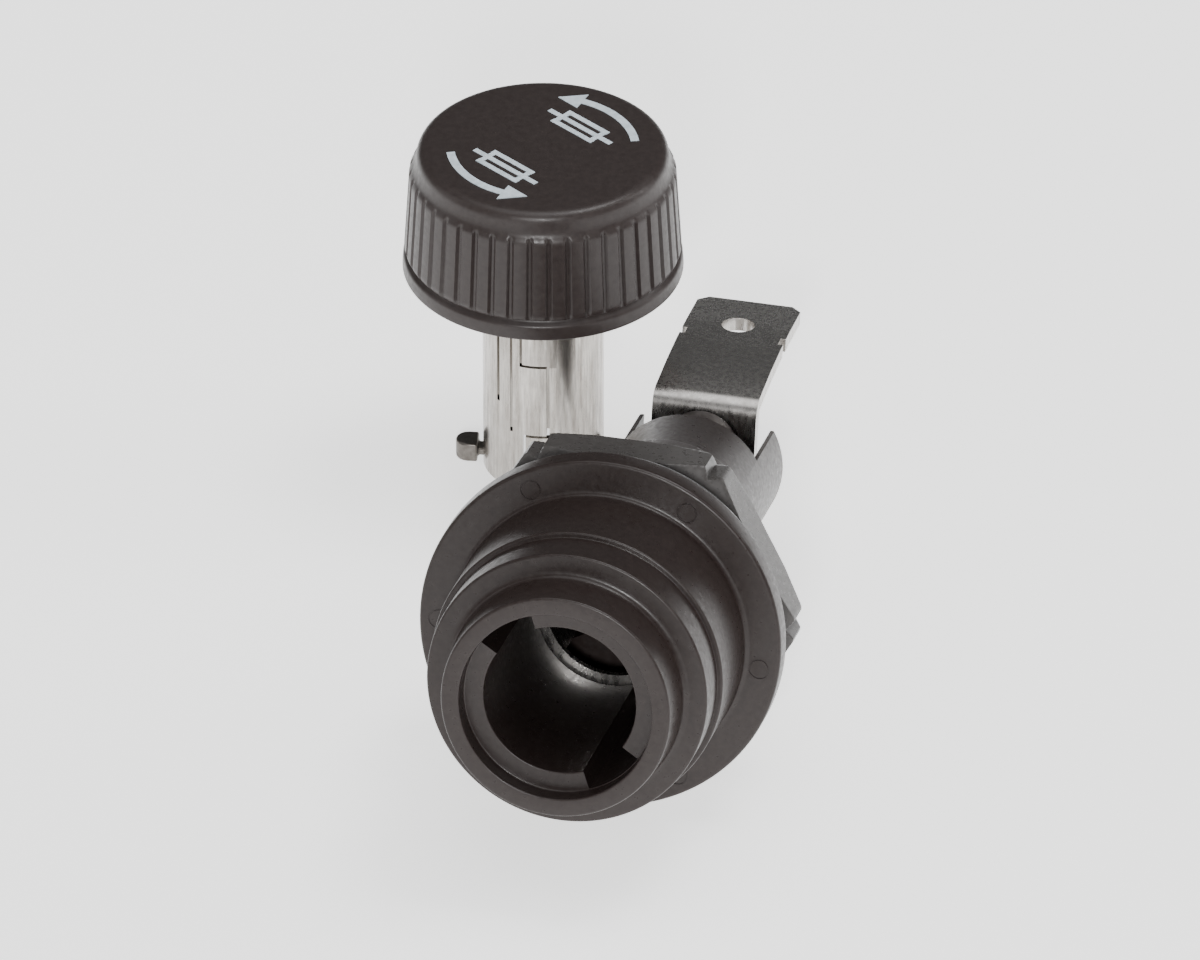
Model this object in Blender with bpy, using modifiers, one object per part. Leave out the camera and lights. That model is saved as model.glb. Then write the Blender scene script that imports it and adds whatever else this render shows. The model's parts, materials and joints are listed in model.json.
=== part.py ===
"""Panel-mount bayonet holder for a 6.3 x 32 mm cartridge fuse, with its carrier taken out.

The holder lies on its side, resting on its flange and on its rear shroud. The carrier (cap and
sleeve) stands beside it on the open end of its sleeve. The bench is z = 0.

Holder pieces are built along the bore: local +Z points out of the mouth and z = 0 is the front
face of the flange. Carrier pieces are built standing up: z = 0 is the open end of the sleeve.
"""
import math

import bmesh
import bpy
from mathutils import Matrix, Vector

MM = 0.001
GAP = 0.3 * MM                  # clearance kept between pieces that touch
STEPS = 48                      # facets round a large turned piece
SMALL_STEPS = 24                # facets round a small turned piece

# Placing of the two units on the bench
FLANGE_RADIUS = 10.73 * MM
SHROUD_END = -28.6 * MM
BARREL_RADIUS = 4.75 * MM
FLANGE_THICKNESS = 1.6 * MM
HOLDER_TURN = math.radians(-13.07)
HOLDER_TILT = math.atan((FLANGE_RADIUS - BARREL_RADIUS) / (-SHROUD_END - FLANGE_THICKNESS))
HOLDER_HEIGHT = FLANGE_RADIUS * math.cos(HOLDER_TILT) + FLANGE_THICKNESS * math.sin(HOLDER_TILT)
CARRIER_PLACE = Vector((-3.514 * MM, 19.357 * MM, 0.0))
HOLDER_PLACE = CARRIER_PLACE + Vector((3.36 * MM, -34.14 * MM, HOLDER_HEIGHT))
CARRIER_TURN = math.radians(-5.5)

# Holder body
WALL_RADIUS = 8.6 * MM
WALL_TOP = 5.92 * MM
RING_RADIUS = 8.26 * MM
RING_TOP = 8.57 * MM
COLLAR_RADIUS = 6.73 * MM
COLLAR_TOP = 11.52 * MM
RECESS_RADIUS = 5.65 * MM
RECESS_FLOOR = 10.36 * MM
BORE_RADIUS = 4.47 * MM
KEYWAY_RADIUS = 5.6 * MM
KEYWAY_ANGLE = math.radians(129.5)
KEYWAY_SPREAD = math.radians(37.0)
SHOULDER = -3.3 * MM            # rear end of the keyways
CHAMBER_RADIUS = 6.4 * MM
CHAMBER_END = -7.6 * MM
THREAD_MAJOR = 7.9 * MM         # 5/8-24 thread
THREAD_MINOR = 7.35 * MM
THREAD_PITCH = 1.058 * MM
THREAD_START = -2.1 * MM
THREAD_END = -10.0 * MM
STEP_RADIUS = 5.5 * MM
STEP_END = -17.6 * MM
FUSE_BORE = 3.45 * MM
FUSE_BORE_END = -22.8 * MM
SLOT_FRONT = -23.6 * MM
CORE_END = -27.1 * MM
CORE_HALF_WIDTH = 2.2 * MM
CORE_ARCH = 1.5 * MM            # height of the centre of the core's round top
SHROUD_HALF_GAP = 3.85 * MM
SHROUD_TOP = 2.4 * MM           # where the shroud's two walls end
SHROUD_FLOOR = -3.1 * MM
CHANNEL_FLOOR = 4.7 * MM        # groove that takes the side contact's leg
CHANNEL_HALF_WIDTH = 1.85 * MM
CHANNEL_END = -16.4 * MM

# Panel hardware, from the flange rearwards
GASKET_RADIUS = 10.3 * MM
SEAT_GAP = 0.4 * MM             # room in front of the gasket and of the nut
GASKET_FRONT = -FLANGE_THICKNESS - SEAT_GAP
GASKET_THICKNESS = 0.7 * MM
GASKET_BACK = GASKET_FRONT - GASKET_THICKNESS
WASHER_RADIUS = 9.9 * MM
WASHER_TEETH = 10
WASHER_FRONT = GASKET_BACK - GAP
WASHER_THICKNESS = 0.5 * MM
WASHER_BACK = WASHER_FRONT - WASHER_THICKNESS
TOOTH_NOTCH_DEPTH = 0.7 * MM
TOOTH_NOTCH_HALF_WIDTH = 0.7 * MM
NUT_FLAT = 9.525 * MM           # half of the 19.05 mm across flats
NUT_THICKNESS = 3.0 * MM
NUT_BEVEL = 0.6 * MM            # height of the bevel that takes the nut's corners off
NUT_FRONT = WASHER_BACK - SEAT_GAP
NUT_BACK = NUT_FRONT - NUT_THICKNESS
HARDWARE_BORE = THREAD_MAJOR + GAP

# Terminals
TAB_WIDTH = 6.35 * MM
TAB_THICKNESS = 0.8 * MM
TAB_HOLE = 1.0 * MM             # radius
TAB_CORNER = 0.7 * MM           # half the side of the block that takes a tab's corner off
SPRING_WIRE = 0.45 * MM
REAR_CONTACT_FRONT = -18.4 * MM
REAR_CONTACT_BACK = -19.15 * MM
REAR_CONTACT_RADIUS = 3.1 * MM
SIDE_CONTACT_INNER = 3.98 * MM
SIDE_CONTACT_OUTER = 6.05 * MM
CONTACT_LEG_INNER = 4.0 * MM
CONTACT_LEG_OUTER = 4.4 * MM
CONTACT_LEG_HALF_WIDTH = 1.5 * MM
CONTACT_LEG_END = -16.0 * MM
RIVET_RADIUS = 0.9 * MM
RIVET_HOLE = RIVET_RADIUS + GAP
RIVET_HEAD_RADIUS = 1.5 * MM
REAR_WASHER_RADIUS = 3.0 * MM
REAR_WASHER_THICKNESS = 0.3 * MM
SIDE_ANGLE = math.radians(207.0)
SIDE_RIVET_PLACE = -14.2 * MM
SIDE_TAB_FRONT = -11.2 * MM
SIDE_TAB_END = -22.4 * MM
SIDE_TAB_HOLE_PLACE = -19.9 * MM
REAR_TAB_FOOT = -2.75 * MM      # lower end of the plate behind the core
REAR_TAB_BEND = 0.75 * MM
REAR_TAB_BEND_FLOOR = 3.45 * MM
REAR_TAB_BEND_SWEEP = 72        # degrees
REAR_TAB_END = -40.05 * MM
REAR_TAB_HOLE_PLACE = -36.45 * MM
REAR_TAB_NICK_PLACE = -34.9 * MM

# Carrier
KNOB_RIM = 14.1 * MM
KNOB_RIM_RADIUS = 8.36 * MM
RIB_START = 15.45 * MM
RIB_END = 20.8 * MM
KNOB_TOP = 22.4 * MM
KNOB_TOP_RADIUS = 7.4 * MM
RIB_COUNT = 44
RIB_BOTTOM_RADIUS = 8.1 * MM    # of the side that the ribs stand on
RIB_TOP_RADIUS = 7.72 * MM
SKIRT_BORE = 7.2 * MM
SKIRT_CEILING = 17.6 * MM
BOSS_RADIUS = 5.3 * MM          # boss inside the knob that holds the sleeve's end
BOSS_END = 16.3 * MM
LIP_GROOVE = 19.8 * MM
LIP_GROOVE_RADIUS = 4.9 * MM
SLEEVE_RADIUS = 3.63 * MM
SLEEVE_BORE = 3.25 * MM
SLEEVE_TOP = 20.6 * MM
LIP_THICKNESS = 0.35 * MM
LIP_RADIUS = 4.6 * MM
LIP_HOLE = 2.4 * MM
CUP_FRONT = 13.6 * MM           # face of the sprung contact in the sleeve
CUP_BACK = 14.9 * MM
CUP_RADIUS = 2.9 * MM
SPRING_SEAT = 19.5 * MM
SEAM_SLIT = 0.16 * MM           # half the width of the slits in the rolled sleeve
LUG_TIP = 5.3 * MM
LUG_ROOT = 3.95 * MM
LUG_FLOOR = 0.02 * MM
LUG_HEIGHT = 1.25 * MM
LUG_WIDTH = 1.5 * MM


# ---------------------------------------------------------------- tools

def clear_scene():
    for old in list(bpy.data.objects):
        bpy.data.objects.remove(old, do_unlink=True)


def new_collection(name):
    found = bpy.data.collections.new(name)
    bpy.context.scene.collection.children.link(found)
    return found


def make_material(name, colour, metallic, roughness):
    material = bpy.data.materials.new(name)
    material.use_nodes = True
    shader = material.node_tree.nodes["Principled BSDF"]
    shader.inputs["Base Color"].default_value = (*colour, 1.0)
    shader.inputs["Metallic"].default_value = metallic
    shader.inputs["Roughness"].default_value = roughness
    material.diffuse_color = (*colour, 1.0)
    return material


def link(name, data, parent, collection):
    thing = bpy.data.objects.new(name, data)
    collection.objects.link(thing)
    thing.parent = parent
    return thing


def finish(thing, material, smooth=True):
    """Give a part its material and, on round parts, smooth shading with sharp edges kept."""
    thing.data.materials.append(material)
    if smooth and thing.type == 'MESH':
        thing.data.shade_smooth()
        thing.data.set_sharp_from_angle(angle=math.radians(35))
    return thing


def as_cutter(thing):
    for owner in list(thing.users_collection):
        owner.objects.unlink(thing)
    CUTTERS.objects.link(thing)
    thing.hide_render = True
    thing.display_type = 'WIRE'
    return thing


def boolean(thing, other, operation):
    as_cutter(other)
    change = thing.modifiers.new(operation.title(), 'BOOLEAN')
    change.operation = operation
    change.object = other
    change.solver = 'EXACT'


def cut(thing, *cutters):
    for cutter in cutters:
        boolean(thing, cutter, 'DIFFERENCE')


def join(thing, *others):
    for other in others:
        boolean(thing, other, 'UNION')


def turned(name, profile, parent, steps=STEPS, ring=True):
    """Turn a profile of (radius, height) round local Z, outer side first, from top to bottom.

    A ring's profile closes on itself; any other starts and ends on the axis.
    """
    mesh = bpy.data.meshes.new(name)
    points = [(radius, 0.0, height) for radius, height in profile]
    edges = [(i, i + 1) for i in range(len(points) - 1)]
    if ring:
        edges.append((len(points) - 1, 0))
    mesh.from_pydata(points, edges, [])
    thing = link(name, mesh, parent, PARTS)
    screw = thing.modifiers.new("Turn", 'SCREW')
    screw.axis = 'Z'
    screw.steps = screw.render_steps = steps
    screw.use_merge_vertices = True
    screw.merge_threshold = 0.000001
    screw.use_smooth_shade = True
    return thing


def box(name, low, high, parent, rotation=(0.0, 0.0, 0.0)):
    """A box between two corners, turned about the parent's origin."""
    mesh = bpy.data.meshes.new(name)
    shape = bmesh.new()
    size = Vector(high) - Vector(low)
    centre = (Vector(high) + Vector(low)) / 2
    matrix = Matrix.Translation(centre) @ Matrix.Diagonal((*size, 1.0))
    bmesh.ops.create_cube(shape, size=1.0, matrix=matrix)
    shape.to_mesh(mesh)
    shape.free()
    thing = link(name, mesh, parent, PARTS)
    thing.rotation_euler = rotation
    return thing


def rod(name, radius, low, high, parent, steps=SMALL_STEPS):
    return turned(name, [(0.0, high), (radius, high), (radius, low), (0.0, low)],
                  parent, steps, ring=False)


def plate_outline(name, outline, depth, parent):
    """A flat outline in the XY plane with half its depth on each side of it, as a mesh."""
    curve = bpy.data.curves.new(name, 'CURVE')
    curve.dimensions = '2D'
    curve.fill_mode = 'BOTH'
    curve.extrude = depth / 2
    spline = curve.splines.new('POLY')
    spline.points.add(len(outline) - 1)
    for point, (x, y) in zip(spline.points, outline):
        point.co = (x, y, 0.0, 1.0)
    spline.use_cyclic_u = True
    return curve_to_mesh(name, curve, parent)


def curve_to_mesh(name, curve, parent):
    source = link(name + "_curve", curve, None, PARTS)
    view = bpy.context.evaluated_depsgraph_get()
    mesh = bpy.data.meshes.new_from_object(source.evaluated_get(view))
    mesh.name = name
    bpy.data.objects.remove(source, do_unlink=True)
    shape = bmesh.new()
    shape.from_mesh(mesh)
    bmesh.ops.remove_doubles(shape, verts=shape.verts, dist=0.000001)
    shape.to_mesh(mesh)
    shape.free()
    return link(name, mesh, parent, PARTS)


def coil(name, low_radius, high_radius, low, high, turns, parent):
    """A conical compression spring: a helix of wire between two heights of its centre line."""
    per_turn = 16
    curve = bpy.data.curves.new(name, 'CURVE')
    curve.dimensions = '3D'
    curve.bevel_depth = SPRING_WIRE / 2
    curve.bevel_resolution = 2
    curve.use_fill_caps = True
    count = int(turns * per_turn) + 1
    spline = curve.splines.new('POLY')
    spline.points.add(count - 1)
    for i, point in enumerate(spline.points):
        share = i / (count - 1)
        angle = 2 * math.pi * i / per_turn
        radius = low_radius + (high_radius - low_radius) * share
        height = low + (high - low) * share
        point.co = (radius * math.cos(angle), radius * math.sin(angle), height, 1.0)
    return link(name, curve, parent, PARTS)


def frame(name, place, rotation, parent=None):
    empty = link(name, None, parent, PARTS)
    empty.location = place
    empty.rotation_euler = rotation
    return empty


def thickened(path, thickness):
    """Outline of a strip of even thickness whose middle follows a path of (x, y) points."""
    points = [Vector(p) for p in path]
    left, right = [], []
    for i, point in enumerate(points):
        before = (point - points[i - 1]).normalized() if i else None
        after = (points[i + 1] - point).normalized() if i + 1 < len(points) else None
        along = ((before or after) + (after or before)).normalized()
        side = Vector((-along.y, along.x))
        bend = side.dot(Vector((-(after or before).y, (after or before).x)))
        left.append(point + side * thickness / 2 / bend)
        right.append(point - side * thickness / 2 / bend)
    return [tuple(p) for p in left + right[::-1]]


def arc(centre, radius, start, end, count):
    """Points on an arc; the angles are in degrees."""
    points = []
    for i in range(count + 1):
        angle = math.radians(start + (end - start) * i / count)
        points.append((centre[0] + radius * math.cos(angle),
                       centre[1] + radius * math.sin(angle)))
    return points


# ---------------------------------------------------------------- holder

def body_profile():
    """Outer side from the mouth to the shroud's end, then the stepped bore back to the mouth."""
    outer = [(RECESS_RADIUS, COLLAR_TOP), (COLLAR_RADIUS - 0.15 * MM, COLLAR_TOP),
             (COLLAR_RADIUS, COLLAR_TOP - 0.15 * MM),
             (COLLAR_RADIUS + 0.12 * MM, RING_TOP + 0.3 * MM),
             (COLLAR_RADIUS + 0.42 * MM, RING_TOP),
             (RING_RADIUS - 0.15 * MM, RING_TOP), (RING_RADIUS, RING_TOP - 0.15 * MM),
             (RING_RADIUS, WALL_TOP), (WALL_RADIUS, WALL_TOP - 0.05 * MM),
             (WALL_RADIUS, 0.0), (FLANGE_RADIUS - 0.2 * MM, 0.0),
             (FLANGE_RADIUS, -0.2 * MM), (FLANGE_RADIUS, -FLANGE_THICKNESS)]
    threads = int((THREAD_START - THREAD_END) / THREAD_PITCH) - 1
    thread = [(THREAD_MINOR, -FLANGE_THICKNESS), (THREAD_MINOR, THREAD_START)]
    top = THREAD_START - THREAD_PITCH / 2
    for i in range(threads):
        height = top - i * THREAD_PITCH
        thread += [(THREAD_MAJOR, height), (THREAD_MINOR, height - THREAD_PITCH / 2)]
    thread += [(THREAD_MAJOR, top - threads * THREAD_PITCH), (THREAD_MINOR, THREAD_END)]
    rear = [(STEP_RADIUS, THREAD_END), (STEP_RADIUS, STEP_END), (BARREL_RADIUS, STEP_END),
            (BARREL_RADIUS, SHROUD_END)]
    inner = [(RIVET_HOLE, SHROUD_END), (RIVET_HOLE, FUSE_BORE_END), (FUSE_BORE, FUSE_BORE_END),
             (FUSE_BORE, CHAMBER_END), (CHAMBER_RADIUS, CHAMBER_END),
             (CHAMBER_RADIUS, SHOULDER), (BORE_RADIUS, SHOULDER), (BORE_RADIUS, RECESS_FLOOR),
             (RECESS_RADIUS, RECESS_FLOOR)]
    return outer + thread + rear + inner


def keyway_cutter(angle, parent):
    """A curved slot beside the bore that lets one bayonet lug through."""
    half = math.degrees(KEYWAY_SPREAD) / 2
    middle = math.degrees(angle)
    outline = arc((0, 0), KEYWAY_RADIUS, middle - half, middle + half, 6)
    outline += arc((0, 0), BORE_RADIUS - 0.6 * MM, middle + half, middle - half, 4)
    low = SHOULDER - 0.1 * MM
    high = RECESS_FLOOR + 0.1 * MM
    cutter = plate_outline("keyway_cutter", outline, high - low, parent)
    cutter.location = (0.0, 0.0, (low + high) / 2)
    return cutter


def shroud_cutters(parent):
    """The space between the shroud's two walls, with the core that stands in it kept."""
    reach = 6.0 * MM
    room_outline = [(-SHROUD_HALF_GAP, SHROUD_FLOOR), (SHROUD_HALF_GAP, SHROUD_FLOOR),
                    (SHROUD_HALF_GAP, SHROUD_TOP), (reach, SHROUD_TOP), (reach, reach),
                    (-reach, reach), (-reach, SHROUD_TOP), (-SHROUD_HALF_GAP, SHROUD_TOP)]
    room = plate_outline("shroud_room", room_outline, CORE_END - SHROUD_END + 0.5 * MM, parent)
    room.location.z = (CORE_END + SHROUD_END - 0.5 * MM) / 2
    floor = SHROUD_FLOOR - 0.001 * MM
    core = [(CORE_HALF_WIDTH, floor)] + arc((0, CORE_ARCH), CORE_HALF_WIDTH, 0, 180, 12)
    core += [(-CORE_HALF_WIDTH, floor)]
    around = [(-SHROUD_HALF_GAP, SHROUD_FLOOR), (-SHROUD_HALF_GAP, SHROUD_TOP),
              (-reach, SHROUD_TOP), (-reach, reach), (reach, reach), (reach, SHROUD_TOP),
              (SHROUD_HALF_GAP, SHROUD_TOP), (SHROUD_HALF_GAP, SHROUD_FLOOR)]
    slots = plate_outline("shroud_slots", around + core, SLOT_FRONT - CORE_END + 0.1 * MM, parent)
    slots.location.z = (SLOT_FRONT + CORE_END - 0.1 * MM) / 2
    return room, slots


def holder_body(parent):
    body = turned("holder_body", body_profile(), parent)
    cut(body, keyway_cutter(KEYWAY_ANGLE, parent), keyway_cutter(KEYWAY_ANGLE + math.pi, parent))
    cut(body, *shroud_cutters(parent))
    channel = box("contact_channel", (3.0 * MM, -CHANNEL_HALF_WIDTH, CHANNEL_END),
                  (CHANNEL_FLOOR, CHANNEL_HALF_WIDTH, CHAMBER_END + 0.1 * MM), parent,
                  (0, 0, SIDE_ANGLE))
    cut(body, channel, side_rod("side_rivet_hole", RIVET_HOLE, 3.0 * MM, 6.0 * MM, parent))
    return finish(body, PHENOLIC)


def side_rod(name, radius, low, high, parent):
    """A cylinder that points straight out of the barrel at the side terminal's angle."""
    thing = rod(name, radius, low, high, parent)
    out = Vector((math.cos(SIDE_ANGLE), math.sin(SIDE_ANGLE), 0.0))
    thing.rotation_euler = out.to_track_quat('Z', 'Y').to_euler()
    thing.location = (0.0, 0.0, SIDE_RIVET_PLACE)
    return thing


def washer(name, inner, outer, back, front, parent, steps=STEPS):
    return turned(name, [(outer, front), (outer, back), (inner, back), (inner, front)],
                  parent, steps)


def panel_gasket(parent):
    gasket = washer("panel_gasket", HARDWARE_BORE, GASKET_RADIUS, GASKET_BACK, GASKET_FRONT, parent)
    return finish(gasket, RUBBER)


def lock_washer(parent):
    """Internal-tooth washer: a ring with notches between its teeth."""
    ring = washer("lock_washer", HARDWARE_BORE, WASHER_RADIUS, WASHER_BACK, WASHER_FRONT, parent)
    for i in range(WASHER_TEETH):
        notch = box("tooth_notch",
                    (HARDWARE_BORE - 0.5 * MM, -TOOTH_NOTCH_HALF_WIDTH, WASHER_BACK - MM),
                    (HARDWARE_BORE + TOOTH_NOTCH_DEPTH, TOOTH_NOTCH_HALF_WIDTH, WASHER_FRONT + MM),
                    parent, (0, 0, 2 * math.pi * i / WASHER_TEETH))
        cut(ring, notch)
    return finish(ring, STEEL)


def hex_nut(parent):
    corner = NUT_FLAT / math.cos(math.pi / 6)
    mesh = bpy.data.meshes.new("hex_nut")
    shape = bmesh.new()
    turn = Matrix.Translation((0, 0, (NUT_FRONT + NUT_BACK) / 2))
    bmesh.ops.create_cone(shape, cap_ends=True, segments=6, radius1=corner, radius2=corner,
                          depth=NUT_THICKNESS, matrix=turn)
    bmesh.ops.rotate(shape, verts=shape.verts, matrix=Matrix.Rotation(math.pi / 2, 3, 'Z'))
    shape.to_mesh(mesh)
    shape.free()
    nut = link("hex_nut", mesh, parent, PARTS)
    beyond = MM                     # how far the envelope runs past the nut's faces
    wide = corner - 0.15 * MM
    narrow = wide - NUT_BEVEL - beyond
    envelope = [(HARDWARE_BORE, NUT_FRONT + beyond), (narrow, NUT_FRONT + beyond),
                (wide, NUT_FRONT - NUT_BEVEL), (wide, NUT_BACK + NUT_BEVEL),
                (narrow, NUT_BACK - beyond), (HARDWARE_BORE, NUT_BACK - beyond)]
    boolean(nut, turned("nut_envelope", envelope, parent), 'INTERSECT')
    return finish(nut, NUT_PLASTIC, smooth=False)


def side_contact(parent):
    """Ring that the bayonet lugs bear on, with a leg back to the side rivet."""
    front = SHOULDER - GAP
    back = front - 0.5 * MM
    ring = washer("side_contact", SIDE_CONTACT_INNER, SIDE_CONTACT_OUTER, back, front, parent)
    for angle in (KEYWAY_ANGLE, KEYWAY_ANGLE + math.pi):
        half = math.degrees(KEYWAY_SPREAD) / 2
        middle = math.degrees(angle)
        outline = arc((0, 0), KEYWAY_RADIUS - 0.1 * MM, middle - half, middle + half, 6)
        outline += arc((0, 0), SIDE_CONTACT_INNER - 0.48 * MM, middle + half, middle - half, 4)
        notch = plate_outline("lug_notch", outline, 2 * MM, parent)
        notch.location.z = (front + back) / 2
        cut(ring, notch)
    leg = box("contact_leg", (CONTACT_LEG_INNER, -CONTACT_LEG_HALF_WIDTH, CONTACT_LEG_END),
              (CONTACT_LEG_OUTER, CONTACT_LEG_HALF_WIDTH, front), parent, (0, 0, SIDE_ANGLE))
    join(ring, leg)
    cut(ring, side_rod("contact_hole", RIVET_HOLE, CONTACT_LEG_INNER - 0.2 * MM,
                       CONTACT_LEG_OUTER + 0.2 * MM, parent))
    return finish(ring, TIN)


def side_terminal(parent):
    """Straight quick-connect tab riveted to the step of the barrel."""
    low = STEP_RADIUS + GAP
    high = low + TAB_THICKNESS
    tab = box("side_terminal", (low, -TAB_WIDTH / 2, SIDE_TAB_END),
              (high, TAB_WIDTH / 2, SIDE_TAB_FRONT), parent, (0, 0, SIDE_ANGLE))
    cut(tab, side_rod("side_tab_rivet_hole", RIVET_HOLE, low - MM, high + MM, parent))
    hole = side_rod("side_tab_hole", TAB_HOLE, low - MM, high + MM, parent)
    hole.location.z = SIDE_TAB_HOLE_PLACE
    cut(tab, hole)
    for side in (-1, 1):
        corner = box("tab_corner", (low - MM, -TAB_CORNER, -TAB_CORNER),
                     (high + MM, TAB_CORNER, TAB_CORNER), parent)
        corner.matrix_local = (Matrix.Rotation(SIDE_ANGLE, 4, 'Z')
                               @ Matrix.Translation((0, side * TAB_WIDTH / 2, SIDE_TAB_END))
                               @ Matrix.Rotation(math.pi / 4, 4, 'X'))
        cut(tab, corner)
    return finish(tab, TIN, smooth=False)


def side_rivet(parent):
    outer = STEP_RADIUS + GAP + TAB_THICKNESS + GAP
    inner = CONTACT_LEG_INNER - 0.25 * MM
    spread = 1.4 * MM
    profile = [(0.0, outer + 0.55 * MM), (RIVET_RADIUS, outer + 0.5 * MM),
               (RIVET_HEAD_RADIUS, outer + 0.2 * MM), (RIVET_HEAD_RADIUS, outer),
               (RIVET_RADIUS, outer), (RIVET_RADIUS, inner), (spread, inner),
               (spread, inner - 0.25 * MM), (0.0, inner - 0.25 * MM)]
    rivet = turned("side_rivet", profile, parent, SMALL_STEPS, ring=False)
    out = Vector((math.cos(SIDE_ANGLE), math.sin(SIDE_ANGLE), 0.0))
    rivet.rotation_euler = out.to_track_quat('Z', 'Y').to_euler()
    rivet.location = (0.0, 0.0, SIDE_RIVET_PLACE)
    return finish(rivet, TIN)


def rear_terminal(parent):
    """Tab that climbs the end of the core, bends over and runs rearwards."""
    plate = CORE_END - GAP - TAB_THICKNESS / 2
    path = [(plate, REAR_TAB_FOOT)]
    path += arc((plate - REAR_TAB_BEND, REAR_TAB_BEND_FLOOR), REAR_TAB_BEND, 0,
                REAR_TAB_BEND_SWEEP, 5)
    path += [(-31.1 * MM, 4.72 * MM), (-33.8 * MM, 5.12 * MM), (REAR_TAB_HOLE_PLACE, 5.34 * MM),
             (REAR_TAB_END, 5.5 * MM)]
    tab = plate_outline("rear_terminal", thickened(path, TAB_THICKNESS), TAB_WIDTH, parent)
    tab.matrix_local = Matrix(((0, 0, 1, 0), (0, 1, 0, 0), (1, 0, 0, 0), (0, 0, 0, 1)))
    cut(tab, rod("rear_rivet_hole", RIVET_HOLE, plate - MM, plate + MM, parent))
    hole = rod("rear_tab_hole", TAB_HOLE, 4.0 * MM, 6.6 * MM, parent)
    hole.rotation_euler = (-math.pi / 2, 0.0, 0.0)
    hole.location.z = REAR_TAB_HOLE_PLACE
    cut(tab, hole)
    for side in (-1, 1):
        tip = box("tip_corner", (-0.45 * MM, 4.0 * MM, -0.45 * MM), (0.45 * MM, 7.0 * MM, 0.45 * MM),
                  parent, (0, math.pi / 4, 0))
        tip.location = (side * TAB_WIDTH / 2, 0, REAR_TAB_END)
        nick = box("side_nick", (-0.32 * MM, 4.0 * MM, -0.4 * MM), (0.32 * MM, 7.0 * MM, 0.4 * MM),
                   parent)
        nick.location = (side * TAB_WIDTH / 2, 0, REAR_TAB_NICK_PLACE)
        cut(tab, tip, nick)
    return finish(tab, TIN, smooth=False)


def rear_rivet(parent):
    back = CORE_END - 2 * GAP - TAB_THICKNESS
    front = FUSE_BORE_END + 3 * GAP
    head = front + 0.25 * MM
    profile = [(0.0, head), (RIVET_HEAD_RADIUS, head), (RIVET_HEAD_RADIUS, front),
               (RIVET_RADIUS, front), (RIVET_RADIUS, back), (RIVET_HEAD_RADIUS + 0.1 * MM, back),
               (RIVET_HEAD_RADIUS, back - 0.35 * MM), (RIVET_RADIUS, back - 0.55 * MM),
               (0.0, back - 0.6 * MM)]
    return finish(turned("rear_rivet", profile, parent, SMALL_STEPS, ring=False), TIN)


def rear_washer(parent):
    back = FUSE_BORE_END + GAP
    ring = washer("rear_washer", RIVET_HOLE, REAR_WASHER_RADIUS, back,
                  back + REAR_WASHER_THICKNESS, parent, SMALL_STEPS)
    return finish(ring, TIN)


def rear_contact(parent):
    """Sprung disc that the rear cap of the fuse presses on."""
    shoulder = REAR_CONTACT_FRONT - 0.3 * MM
    profile = [(0.0, REAR_CONTACT_FRONT), (1.5 * MM, REAR_CONTACT_FRONT), (2.0 * MM, shoulder),
               (REAR_CONTACT_RADIUS, shoulder), (REAR_CONTACT_RADIUS, REAR_CONTACT_BACK),
               (0.0, REAR_CONTACT_BACK)]
    return finish(turned("rear_contact", profile, parent, SMALL_STEPS, ring=False), TIN)


def rear_spring(parent):
    """Conical spring whose turns nest when the fuse pushes the disc back."""
    low = FUSE_BORE_END + 3 * GAP + SPRING_WIRE / 2
    high = REAR_CONTACT_BACK - GAP - SPRING_WIRE / 2
    spring = coil("rear_spring", 2.65 * MM, 1.7 * MM, low, high, 3.0, parent)
    return finish(spring, SPRING_STEEL)


# ---------------------------------------------------------------- carrier

def knob_profile():
    """Outer side from the middle of the top to the rim, then the skirt, boss and socket."""
    outer = [(0.0, KNOB_TOP), (KNOB_TOP_RADIUS - 0.35 * MM, KNOB_TOP - 0.05 * MM),
             (KNOB_TOP_RADIUS, KNOB_TOP - 0.35 * MM), (RIB_TOP_RADIUS, RIB_END + 0.1 * MM),
             (RIB_BOTTOM_RADIUS, RIB_START), (KNOB_RIM_RADIUS, RIB_START - 0.1 * MM),
             (KNOB_RIM_RADIUS + 0.06 * MM, KNOB_RIM + 0.2 * MM),
             (KNOB_RIM_RADIUS - 0.12 * MM, KNOB_RIM)]
    socket = SLEEVE_RADIUS + GAP
    inner = [(SKIRT_BORE, KNOB_RIM), (SKIRT_BORE, SKIRT_CEILING), (BOSS_RADIUS, SKIRT_CEILING),
             (BOSS_RADIUS, BOSS_END), (socket, BOSS_END), (socket, LIP_GROOVE),
             (LIP_GROOVE_RADIUS, LIP_GROOVE), (LIP_GROOVE_RADIUS, SLEEVE_TOP + GAP),
             (0.0, SLEEVE_TOP + GAP)]
    return outer + inner


def rib_ring(parent):
    """All grip ribs as one mesh of separate bars that follow the slope of the side."""
    mesh = bpy.data.meshes.new("grip_ribs")
    shape = bmesh.new()
    length = RIB_END - RIB_START
    slope = math.atan((RIB_BOTTOM_RADIUS - RIB_TOP_RADIUS) / length)
    depth, width = 0.7 * MM, 0.56 * MM
    middle = (RIB_BOTTOM_RADIUS + RIB_TOP_RADIUS) / 2 - 0.08 * MM
    for i in range(RIB_COUNT):
        place = (Matrix.Rotation(2 * math.pi * i / RIB_COUNT, 4, 'Z')
                 @ Matrix.Translation((middle, 0, RIB_START + length / 2 - 0.15 * MM))
                 @ Matrix.Rotation(-slope, 4, 'Y')
                 @ Matrix.Diagonal((depth, width, length + 0.2 * MM, 1.0)))
        bmesh.ops.create_cube(shape, size=1.0, matrix=place)
    shape.to_mesh(mesh)
    shape.free()
    return link("grip_ribs", mesh, parent, PARTS)


def cap_knob(parent):
    knob = turned("cap_knob", knob_profile(), parent, ring=False)
    join(knob, rib_ring(parent))
    return finish(knob, PHENOLIC)


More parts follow.
